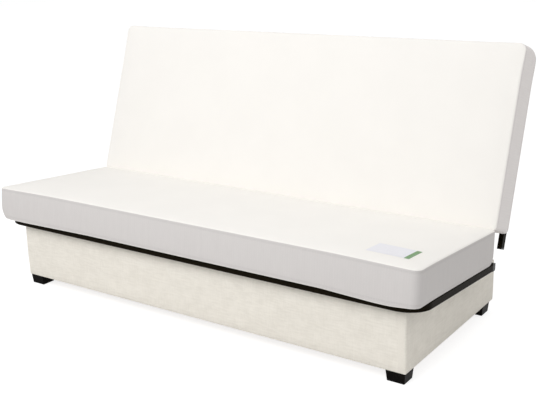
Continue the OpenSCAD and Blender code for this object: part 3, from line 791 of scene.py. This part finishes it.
@dataclass
class MattressHalf:
    """One foam half: two crowned faces, ribbed borders, a stitched seam along each edge."""

    name: str
    node: str
    body: str
    size: float
    space: Matrix
    way: int
    length: float = 1.900
    thick: float = 0.125
    border: Finish = BORDER

    # Corners seen from above; the far ones change to their foot radius low down
    corner: float = 0.030
    foot_corners: Pair = (0.030, 0.030)
    foot_height: float = 0.040
    fold_corner: float = 0.014
    ear: float = 0.004
    ear_reach: float = 0.12

    # Rounded rims and the border between them
    edge: float = 0.006
    under_edge: float = 0.006
    under_draw: float = 0.25
    top_draw: float = 0.0015
    arc: Tuple[float, ...] = (0.0, 0.06, 0.2, 0.42, 0.7)
    seam_at: float = 0.003
    seam_steps: Tuple[float, ...] = (0.0015, 0.0030, 0.0045, 0.0060)
    groove: float = 0.0012
    bulge: float = 0.0016
    under_seam: float = 0.002
    middle_rows: int = 5
    middle_gap: float = 0.008

    # The edge at the fold, and lips that stand out of the border
    fold_edge: float = 0.003
    fold_hold: float = 0.012
    fold_lip: float = 0.003
    fold_lip_drop: float = 0.012
    fold_lip_reach: float = 0.03
    foot_lip: float = 0.0
    heel: Pair = (0.009, 0.009)
    heel_reach: float = 0.09

    # Unevenness of the faces: the crown, the drape over the tube at the left and right, the rise
    crown: float = 0.006
    crown_reach: float = 0.45
    fold_slope: float = 1.4
    droop: Pair = (0.0, 0.0)
    droop_left: Pair = (0.45, 0.35)
    droop_right: Pair = (0.60, 0.20)
    droop_end: Pair = (0.84, 0.11)
    droop_height: float = 0.07
    overhang: float = 0.024
    rim_rise: float = 0.0
    rise_reach: float = 0.35

    # Grid and simulation
    pitch: float = 0.020
    arc_steps: int = 6
    rim_hold: float = 0.014
    pressure: float = 4.0
    stiffness: float = 40.0
    shear: float = 20.0
    frames: int = 20
    most_swell: float = 0.004
    substeps: int = 6
    flat_keep: float = 1.0
    held: List[int] = field(default_factory=list, init=False)
    piece: Optional[bpy.types.Object] = field(default=None, init=False)

    def stations(self, low: float, high: float, radius: float) -> np.ndarray:
        """Places grid lines along one side: close together in the corners, even between.

        Args:
            low: Where the side starts.
            high: Where it ends, in a far corner.
            radius: The radius of the corner at its start.

        Returns:
            The places.
        """
        steps = np.arange(self.arc_steps) / self.arc_steps
        count = max(2, round((high - self.corner - low - radius) / self.pitch))
        middle = np.linspace(low + radius, high - self.corner, count + 1)
        return np.concatenate([low + radius * steps, middle, high - self.corner * steps[::-1]])

    def plan(self, x: float, y: float, height: float, inset: float,
             fold_inset: float) -> Pair:
        """Bends a point of the square grid into the half's rounded outline.

        Args:
            x: The point's place along the length.
            y: Its place from the fold.
            height: Its height over the underside.
            inset: How far the borders draw in here.
            fold_inset: How far the fold edge draws in here.

        Returns:
            The bent point.
        """
        half, side = self.length / 2, 1.0 if x >= 0 else -1.0
        x = abs(x)
        far = y > self.size / 2
        low = max(0.0, 1 - height / self.foot_height) ** 2
        foot = self.foot_corners[side > 0]
        radius = self.corner + (foot - self.corner) * low if far else self.fold_corner
        cx, cy = half - radius, self.size - radius if far else radius
        out = 1 if far else -1
        a, b = (x - cx) / radius, (y - cy) / radius * out
        if a > 0 and b > 0:
            grow = max(a, b) / math.hypot(a, b)
            a, b = a * grow, b * grow
        keep = (radius - inset) / radius
        px = cx + a * radius * keep if a > 0 else x
        py = cy + out * b * radius * keep if b > 0 else y
        if far:
            ear = (self.ear * max(0.0, 1 - (half - px) / self.ear_reach)
                   * max(0.0, 1 - (self.size - py) / self.ear_reach))
            return side * (px + ear), py + ear / 2
        return side * px, py + (fold_inset - inset) * max(0.0, 1 - max(0.0, py) / self.heel_reach)

    def levels(self) -> List[Level]:
        """Works out the border's levels.

        Returns:
            The levels, from the underside to the face.
        """
        t, rows = self.thick, []
        seam = [self.seam_at + step for step in self.seam_steps]
        low = [self.edge * s for s in self.arc] + seam
        low += list(np.linspace(seam[-1] + self.middle_gap, t / 2, self.middle_rows))
        for h in low + [t - h for h in low[-2::-1]]:
            near, upper = min(h, t - h), h > t / 2
            groove = self.groove if abs(near - seam[1]) < TINY else 0.0
            bulge = self.bulge * math.sin(math.pi * clamp((h - seam[3]) / (t - 2 * seam[3])))
            inset = round_in(near, self.edge if upper else self.under_edge) + groove - bulge
            inset += self.top_draw if upper else self.under_draw * self.under_edge
            deep, tall = self.heel
            fold = round_in(h, tall) * deep / tall if h < t / 2 else round_in(t - h, self.fold_edge)
            out = abs(t - h - self.fold_lip_drop) / self.fold_lip_reach
            lip = max(self.fold_lip * max(0.0, 1 - out), self.foot_lip * (1 - h / t))
            rows.append((h, inset, fold + groove - lip))
        return rows

    def crown_at(self, x: float, y: float) -> float:
        """Gives the crown's height at a point of the face, which rises fastest from the fold."""
        d = min(self.length / 2 - abs(x), self.size - y, y * self.fold_slope) - self.edge
        return self.crown * math.sin(
            math.pi / 2 * math.sqrt(clamp(d / (self.crown_reach * self.size))))

    def lie_at(self, x: float, y: float, height: float) -> float:
        """Gives where a level lies: its far edge hangs over the tube, and stands up in the middle.

        Args:
            x: The point's place along the length.
            y: Its place from the fold.
            height: The level's height over the underside.

        Returns:
            The point's height over the plane of the face.
        """
        out = 1 - (self.size - y - self.edge) / (self.overhang - self.edge)
        left, right, end = (clamp((place - start) / reach) for place, (start, reach) in (
            (-x, self.droop_left), (x, self.droop_right), (x, self.droop_end)))
        fall = (self.droop[0] * left + self.droop[1] * right) * (1 - ease(end))
        droop = fall * ease(out) * max(0.0, 1 - height / self.droop_height) ** 2
        share = ease((self.length / 2 - abs(x)) / self.rise_reach) * height / self.thick
        rise = self.rim_rise * share * (max(0.0, y) / self.size) ** 2
        return height - self.thick - droop + rise

    def build(self) -> None:
        """Builds the closed shape: underside, levels of the border and the crowned face."""
        half, rows = self.length / 2, self.levels()
        xs = self.stations(-half, half, self.corner)
        ys = self.stations(0.0, self.size, self.fold_corner)
        nx, ny = len(xs), len(ys)
        grid = [(i, j) for j in range(ny) for i in range(nx)]
        loop = [(i, 0) for i in range(nx - 1)] + [(nx - 1, j) for j in range(ny - 1)]
        loop += [(i, ny - 1) for i in range(nx - 1, 0, -1)] + [(0, j) for j in range(ny - 1, 0, -1)]
        run = [0.0]
        for a, b in zip(loop, loop[1:]):
            run.append(run[-1] + math.hypot(xs[a[0]] - xs[b[0]], ys[a[1]] - ys[b[1]]))
        points, cloth, faces, slots = [], [], [], []

        def point(place: Tuple[int, int], level: Level, along: Optional[float] = None) -> int:
            """Adds a point.

            Args:
                place: Its column and row in the grid.
                level: Its level.
                along: How far round the half it lies, if it is on the border.

            Returns:
                Its number.
            """
            px, py = self.plan(xs[place[0]], ys[place[1]], *level)
            crown = self.crown_at(px, py) if level is rows[-1] else 0.0
            points.append((px, self.way * py, self.lie_at(px, py, level[0]) + crown))
            cloth.append((px, py, 0.0) if along is None else (along, level[0], 0.0))
            return len(points) - 1

        def add(face: Tuple[int, ...], slot: int) -> None:
            """Adds a face, turned so that it looks outwards."""
            faces.append(face[::-1] if self.way < 0 else face)
            slots.append(slot)

        bottom, top = ({k: point(k, level) for k in grid} for level in (rows[0], rows[-1]))
        rings = [[point(place, level, s) for place, s in zip(loop, run)] for level in rows[1:-1]]
        rings = [[bottom[k] for k in loop]] + rings + [[top[k] for k in loop]]
        for ring, (height, _, _) in zip(rings, rows):
            if not self.rim_hold <= height <= self.thick - self.rim_hold:
                self.held.extend(ring)
        self.held.extend(bottom.values())
        self.held.extend(k for k in top.values() if points[k][1] * self.way < self.fold_hold)
        for i in range(nx - 1):
            for j in range(ny - 1):
                add((top[i, j], top[i + 1, j], top[i + 1, j + 1], top[i, j + 1]), 0)
                add((bottom[i, j], bottom[i, j + 1], bottom[i + 1, j + 1], bottom[i + 1, j]), 0)
        n = len(loop)
        for lower, upper, row, above in zip(rings, rings[1:], rows, rows[1:]):
            middle = (row[0] + above[0]) / 2
            slot = int(self.under_seam < middle < self.thick - self.seam_at)
            for k in range(n):
                add((lower[k], lower[(k + 1) % n], upper[(k + 1) % n], upper[k]), slot)
        self.piece = new_piece(self.name, points, faces, (TICKING, self.border), self.space, slots,
                               np.array(cloth))

    def swell(self) -> None:
        """Lets the cover swell over the foam in a cloth simulation, held at its seams and below."""
        scene, mesh = bpy.context.scene, self.piece.data
        before = points_of(mesh)
        group = self.piece.vertex_groups.new(name="held")
        group.add(self.held, 1.0, "REPLACE")
        cover = self.piece.modifiers.new("cover", "CLOTH")
        rules = cover.settings
        rules.use_pressure = True
        rules.uniform_pressure_force = self.pressure
        rules.effector_weights.gravity = 0.0
        rules.vertex_group_mass = group.name
        rules.quality = self.substeps
        rules.tension_stiffness = rules.compression_stiffness = self.stiffness
        rules.shear_stiffness = self.shear
        for step in range(1, self.frames + 1):
            scene.frame_set(step)
        swollen = self.piece.evaluated_get(bpy.context.evaluated_depsgraph_get())
        move = points_of(swollen.data) - before
        far = np.linalg.norm(move, axis=1, keepdims=True)
        move *= self.most_swell * np.tanh(far / self.most_swell) / np.maximum(far, 1e-9)
        self.piece.modifiers.remove(cover)
        self.piece.vertex_groups.remove(group)
        mesh.vertices.foreach_set("co", (before + move).ravel())
        mesh.update()
        scene.frame_set(1)
        most = float(np.linalg.norm(move, axis=1).max())
        LOG.info("%s: swelled by up to %.1f mm", self.name, most / MM)

    def dress(self) -> None:
        """Puts the half on its body in place of the CAD foam."""
        smooth = self.piece.modifiers.new("smooth", "SUBSURF")
        smooth.levels = smooth.render_levels = 1
        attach(self.piece, self.body)
        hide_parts(self.node)
        if self.flat_keep < 1:
            away = self.space.to_3x3() @ Vector((0.0, self.way, 0.0))
            end = self.space @ Vector((0.0, self.way * self.size, 0.0))
            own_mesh(self.piece)
        LOG.info("%s: %d faces", self.name, len(self.piece.data.polygons))


@dataclass
class SewnLabel:
    """A small plain label sewn on the seat near its right end, with a green end band."""

    low: Pair = (0.727, -0.546)
    high: Pair = (0.879, -0.447)
    band: float = 0.018
    lift: float = 0.0012
    rim_shares: Tuple[float, float, float] = (0.3, 0.8, 1.0)
    pitch: float = 0.004
    rows: int = 24
    ray_height: float = 0.1

    def patch(self, name: str, x0: float, x1: float, finish: Finish,
              face: BVHTree) -> bpy.types.Object:
        """Makes one thin patch that follows the mattress face.

        Args:
            name: The piece's name.
            x0: Where it starts along the length.
            x1: Where it ends.
            finish: Its finish.
            face: The mattress face, in the seat's frame.

        Returns:
            The patch.
        """
        nx, ny = max(2, round((x1 - x0) / self.pitch)), self.rows
        y0, y1 = self.low[1], self.high[1]
        points, faces, cloth = [], [], []
        for j in range(ny + 1):
            for i in range(nx + 1):
                x, y = x0 + (x1 - x0) * i / nx, y0 + (y1 - y0) * j / ny
                cloth.append((x - self.low[0], y - y0, 0.0))
                start = Vector((x, y, self.ray_height))
                under = face.ray_cast(start, Vector((0.0, 0.0, -1.0)))[0].z
                rim = min(i, nx - i, j, ny - j)
                points.append((x, y, under + self.lift * self.rim_shares[min(rim, 2)]))
        for j in range(ny):
            for i in range(nx):
                a = j * (nx + 1) + i
                faces.append((a, a + 1, a + nx + 2, a + nx + 1))
        return new_piece(name, points, faces, (finish,), SEAT_SPACE, cloth=np.array(cloth))

    def build(self, half: MattressHalf) -> None:
        """Builds the label's two patches on the seat half.

        Args:
            half: The seat half.
        """
        mesh = half.piece.data
        face = BVHTree.FromPolygons([v.co for v in mesh.vertices],
                                    [tuple(p.vertices) for p in mesh.polygons])
        split = self.high[0] - self.band
        body = self.patch("label_body", self.low[0], split, LABEL_CLOTH, face)
        band = self.patch("label_band", split, self.high[0], LABEL_BAND, face)
        for piece in (body, band):
            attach(piece, "seat")
        LOG.info("label: body and band")


@dataclass
class BoxCover:
    """The woven cover of the box: soft corners, a hem low down and an upper edge turned in."""

    radius: float = 0.007
    corner_steps: int = 6
    proud: float = 0.0015
    puff: float = 0.0012
    pitch: float = 0.02
    turn_in: float = 0.025
    step: float = 0.0006
    soften: float = 0.003
    wall_rings: int = 10
    # How far each ring of the hem lies inside and over the lower edge
    hem_rings: Tuple[Pair, ...] = ((0.012, 0.0018), (0.006, 0.0006), (0.002, 0.0))
    # How far each ring of the turned-in edge lies inside and under the upper edge
    turned_rings: Tuple[Pair, ...] = (
        (0.0012, 0.0012), (0.004, 0.0), (0.015, 0.0), (0.019, 0.006))

    def outline(self, x1: float, y0: float, y1: float, notch: float) -> List[Pair]:
        """Lists the cover's outline seen from above, anticlockwise from the front right corner.

        Args:
            x1: Half its length.
            y0: Its front.
            y1: Its rear.
            notch: Half the length of the low rear stretch.

        Returns:
            The points.
        """
        r, steps, arcs = self.radius, self.corner_steps, []
        for x, y, start in ((x1, y0, -90), (x1, y1, 0), (-x1, y1, 90), (-x1, y0, 180)):
            cx, cy = x - math.copysign(r, x), y + (r if y == y0 else -r)
            turns = [math.radians(start + 90 * k / steps) for k in range(steps + 1)]
            arcs.append([(cx + r * math.cos(a), cy + r * math.sin(a)) for a in turns])
        arcs[2:2] = [[(edge + self.step, y1), (edge - self.step, y1)] for edge in (notch, -notch)]
        points: List[Pair] = []
        for arc, after in zip(arcs, arcs[1:] + arcs[:1]):
            (ax, ay), (bx, by) = arc[-1], after[0]
            n = max(1, round(math.dist(arc[-1], after[0]) / self.pitch))
            points.extend(arc)
            points.extend((ax + (bx - ax) * k / n, ay + (by - ay) * k / n) for k in range(1, n))
        return points

    def ring_at(self, ring: int, z0: float, top: float) -> Pair:
        """Works out where a ring lies.

        Args:
            ring: Its number, below 0 in the hem and past the wall's in the turned-in edge.
            z0: The height of the lower edge.
            top: The height of the upper edge.

        Returns:
            How far inside the walls it lies, and its height.
        """
        if ring < 0:
            inside, rise = self.hem_rings[ring]
            return inside, z0 + rise
        if ring > self.wall_rings:
            inside, drop = self.turned_rings[ring - self.wall_rings - 1]
            return inside, top - drop
        share = ring / self.wall_rings
        z = z0 + self.soften + (top - z0 - 2 * self.soften) * share
        return -self.puff * math.sin(math.pi * share), z

    def build(self) -> None:
        """Builds the cover round the box of the CAD cover."""
        low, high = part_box("box_cover")
        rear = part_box("rear_panel")[1]
        x1, y0, y1 = high.x + self.proud, low.y - self.proud, high.y + self.proud
        z0, slope = low.z - self.proud, math.tan(SEAT_TILT)
        outline = self.outline(x1, y0, y1, rear.x)
        run = [0.0]
        for a, b in zip(outline, outline[1:]):
            run.append(run[-1] + math.dist(a, b))

        def rim(x: float, y: float) -> float:
            """Gives the height of the cover's upper edge."""
            cut = y > y1 - MM and abs(x) < rear.x
            return self.proud + (rear.z if cut else high.z - (y - y0) * slope)

        points, cloth, rings = [], [], []
        for ring in range(-len(self.hem_rings), self.wall_rings + 1 + len(self.turned_rings)):
            numbers = []
            for (x, y), s in zip(outline, run):
                inside, z = self.ring_at(ring, z0, rim(x, y))
                if inside > 0:
                    px = math.copysign(min(abs(x), x1 - inside), x)
                    py = min(max(y, y0 + inside), y1 - inside)
                else:
                    px = x * (1 - inside / x1) if abs(x) > x1 - self.radius else x
                    py = y + inside * ((y < y0 + MM) - (y > y1 - MM))
                numbers.append(len(points))
                points.append((px, py, z))
                cloth.append((s, z + max(inside, 0.0), 0.0))
            rings.append(numbers)
        n = len(outline)
        faces = [(a[k], a[(k + 1) % n], b[(k + 1) % n], b[k])
                 for a, b in zip(rings, rings[1:]) for k in range(n)]
        piece = new_piece("box_cover_cloth", points, faces, (WOVEN,), cloth=np.array(cloth))
        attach(piece, "base")
        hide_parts("box_cover")


@dataclass
class BlockFoot:
    """A glossy tapered block foot with softened edges."""

    node: str
    taper: float = 0.004
    bevel: float = 0.0016
    spread: float = 0.003
    small_face: float = 2e-4

    def build(self) -> None:
        """Builds the foot round the CAD foot's box, a little wider for the lacquer."""
        low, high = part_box(self.node)
        out = Vector((self.spread, self.spread, 0.0))
        low, high = low - out, high + out
        mesh = bmesh.new()
        corners = []
        for z, t in ((low.z, self.taper), (high.z, 0.0)):
            x0, x1, y0, y1 = low.x + t, high.x - t, low.y + t, high.y - t
            plan = ((x0, y0), (x1, y0), (x1, y1), (x0, y1))
            corners += [mesh.verts.new((x, y, z)) for x, y in plan]
        sides = [(k, (k + 1) % 4, (k + 1) % 4 + 4, k + 4) for k in range(4)]
        for face in [(3, 2, 1, 0), (4, 5, 6, 7)] + sides:
            mesh.faces.new([corners[i] for i in face])
        bmesh.ops.bevel(mesh, geom=list(mesh.edges), offset=self.bevel, segments=3, profile=0.5,
                        affect="EDGES")
        data = bpy.data.meshes.new(self.node + "_block")
        mesh.to_mesh(data)
        mesh.free()
        smooth = [len(p.vertices) != 4 or p.area < self.small_face for p in data.polygons]
        data.polygons.foreach_set("use_smooth", smooth)
        data.materials.append(FOOT_GLOSS.make())
        piece = stand(self.node + "_block", data)
        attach(piece, "base")
        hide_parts(self.node)
        LOG.info("%s: bevelled block", self.node)


@dataclass(frozen=True)
class Lamp:
    """A soft rectangular lamp: where it hangs, what it looks at, its size, watts and colour."""

    name: str
    place: Point
    aim: Point
    size: Pair
    power: float
    colour: Colour = WHITE

    def hang(self) -> None:
        """Adds the lamp to the scene, turned towards its aim."""
        data = bpy.data.lights.new(self.name, "AREA")
        data.shape = "RECTANGLE"
        data.size, data.size_y = self.size
        data.energy, data.color = self.power, self.colour
        lamp = stand(self.name, data)
        lamp.location = self.place
        way = Vector(self.aim) - Vector(self.place)
        lamp.rotation_euler = way.to_track_quat("-Z", "Y").to_euler()


@dataclass
class Studio:
    """White floor, even sky, soft lamps and the camera."""

    eye: Point = (2.07346, -2.87403, 1.4199)
    turn: Point = (74.6704, 1.7139, 35.3038)
    lens: float = 61.98845
    shift: Pair = (0.0224213, -0.0401488)
    sensor: float = 36.0
    far: float = 60.0
    floor_reach: float = 14.0
    floor_glow: float = 0.8
    floor_grey: Colour = (0.45, 0.45, 0.45)
    floor_tone: Colour = (0.86, 0.855, 0.845)
    sky_tone: Colour = (0.985, 0.99, 1.0)
    sky_power: float = 0.56
    lamps: Tuple[Lamp, ...] = (
        Lamp("key_lamp", (-0.3, -3.6, 3.2), (0.0, 0.0, 0.4), (2.6, 2.0), 79.0),
        Lamp("side_lamp", (3.2, 1.4, 2.6), (0.6, 0.1, 0.4), (1.6, 1.6), 9.8, (1.0, 0.97, 0.90)),
        Lamp("top_lamp", (0.0, -0.6, 4.2), (0.0, -0.1, 0.3), (3.0, 2.0), 17.0))

    def camera(self) -> None:
        """Places the camera of the photograph."""
        data = bpy.data.cameras.new("studio_camera")
        data.sensor_width = self.sensor
        data.lens = self.lens
        data.shift_x, data.shift_y = self.shift
        data.clip_end = self.far
        eye = stand("studio_camera", data)
        eye.location = self.eye
        eye.rotation_euler = tuple(math.radians(a) for a in self.turn)
        bpy.context.scene.camera = eye

    def floor(self) -> None:
        """Adds a wide pale floor that keeps the object's shadow."""
        material = bpy.data.materials.new("studio_floor")
        material.use_nodes = True
        board = Board(material.node_tree)
        glow = board.node("ShaderNodeEmission", None, {"Color": WHITE, "Strength": self.floor_glow})
        lit = board.node("ShaderNodeBsdfDiffuse", None, {"Color": self.floor_grey})
        shown = board.node("ShaderNodeAddShader", None, {0: glow, 1: lit})
        plain = board.node("ShaderNodeBsdfDiffuse", None, {"Color": self.floor_tone})
        board.end_split("ShaderNodeOutputMaterial", plain, shown)
        r = self.floor_reach
        corners = [(-r, -r, 0.0), (r, -r, 0.0), (r, r, 0.0), (-r, r, 0.0)]
        data = bpy.data.meshes.new("studio_floor")
        data.from_pydata(corners, [], [(0, 1, 2, 3)])
        data.materials.append(material)
        stand("studio_floor", data)

    def world(self) -> None:
        """Adds an even sky, seen as white."""
        world = bpy.data.worlds.new("studio_world")
        world.use_nodes = True
        board = Board(world.node_tree)
        plain, white = (
            board.node("ShaderNodeBackground", None, {"Color": colour, "Strength": power})
            for colour, power in ((self.sky_tone, self.sky_power), (WHITE, 1.0)))
        board.end_split("ShaderNodeOutputWorld", plain, white)
        bpy.context.scene.world = world

    def build(self) -> None:
        """Sets the view transform and builds camera, floor, sky and lamps."""
        bpy.context.scene.view_settings.view_transform = "Standard"
        self.camera()
        self.floor()
        self.world()
        for lamp in self.lamps:
            lamp.hang()
        LOG.info("studio: camera, floor, sky and lamps")


def main() -> None:
    """Builds the looks in order."""
    logging.basicConfig(level=logging.INFO, format="%(message)s")
    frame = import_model()
    Studio().build()
    dress_nodes(frame["nodes"])
    seat = MattressHalf(
        "seat_half", "seat_mattress", "seat", SEAT_DEPTH, SEAT_SPACE, -1,
        foot_corners=(0.060, 0.034), heel=(0.045, 0.030), droop=(0.0060, 0.0080), rim_rise=0.0045)
    # The back half wears the border cloth painted lighter, a lit copy standing in for the light on
    # its border.
    back = MattressHalf(
        "back_half", "back_mattress", "back", BACK_HEIGHT, BACK_SPACE, 1, border=BACK_BORDER_PAINTED_LIGHTER,
        foot_corners=(0.030, 0.046), under_edge=0.001, foot_lip=0.009, flat_keep=0.983)
    for half in (seat, back):
        half.build()
        half.swell()
        half.dress()
    SewnLabel().build(seat)
    BoxCover().build()
    for node in ("front_left_foot", "front_right_foot", "rear_left_foot", "rear_right_foot"):
        BlockFoot(node).build()


if __name__ == "__main__":
    main()
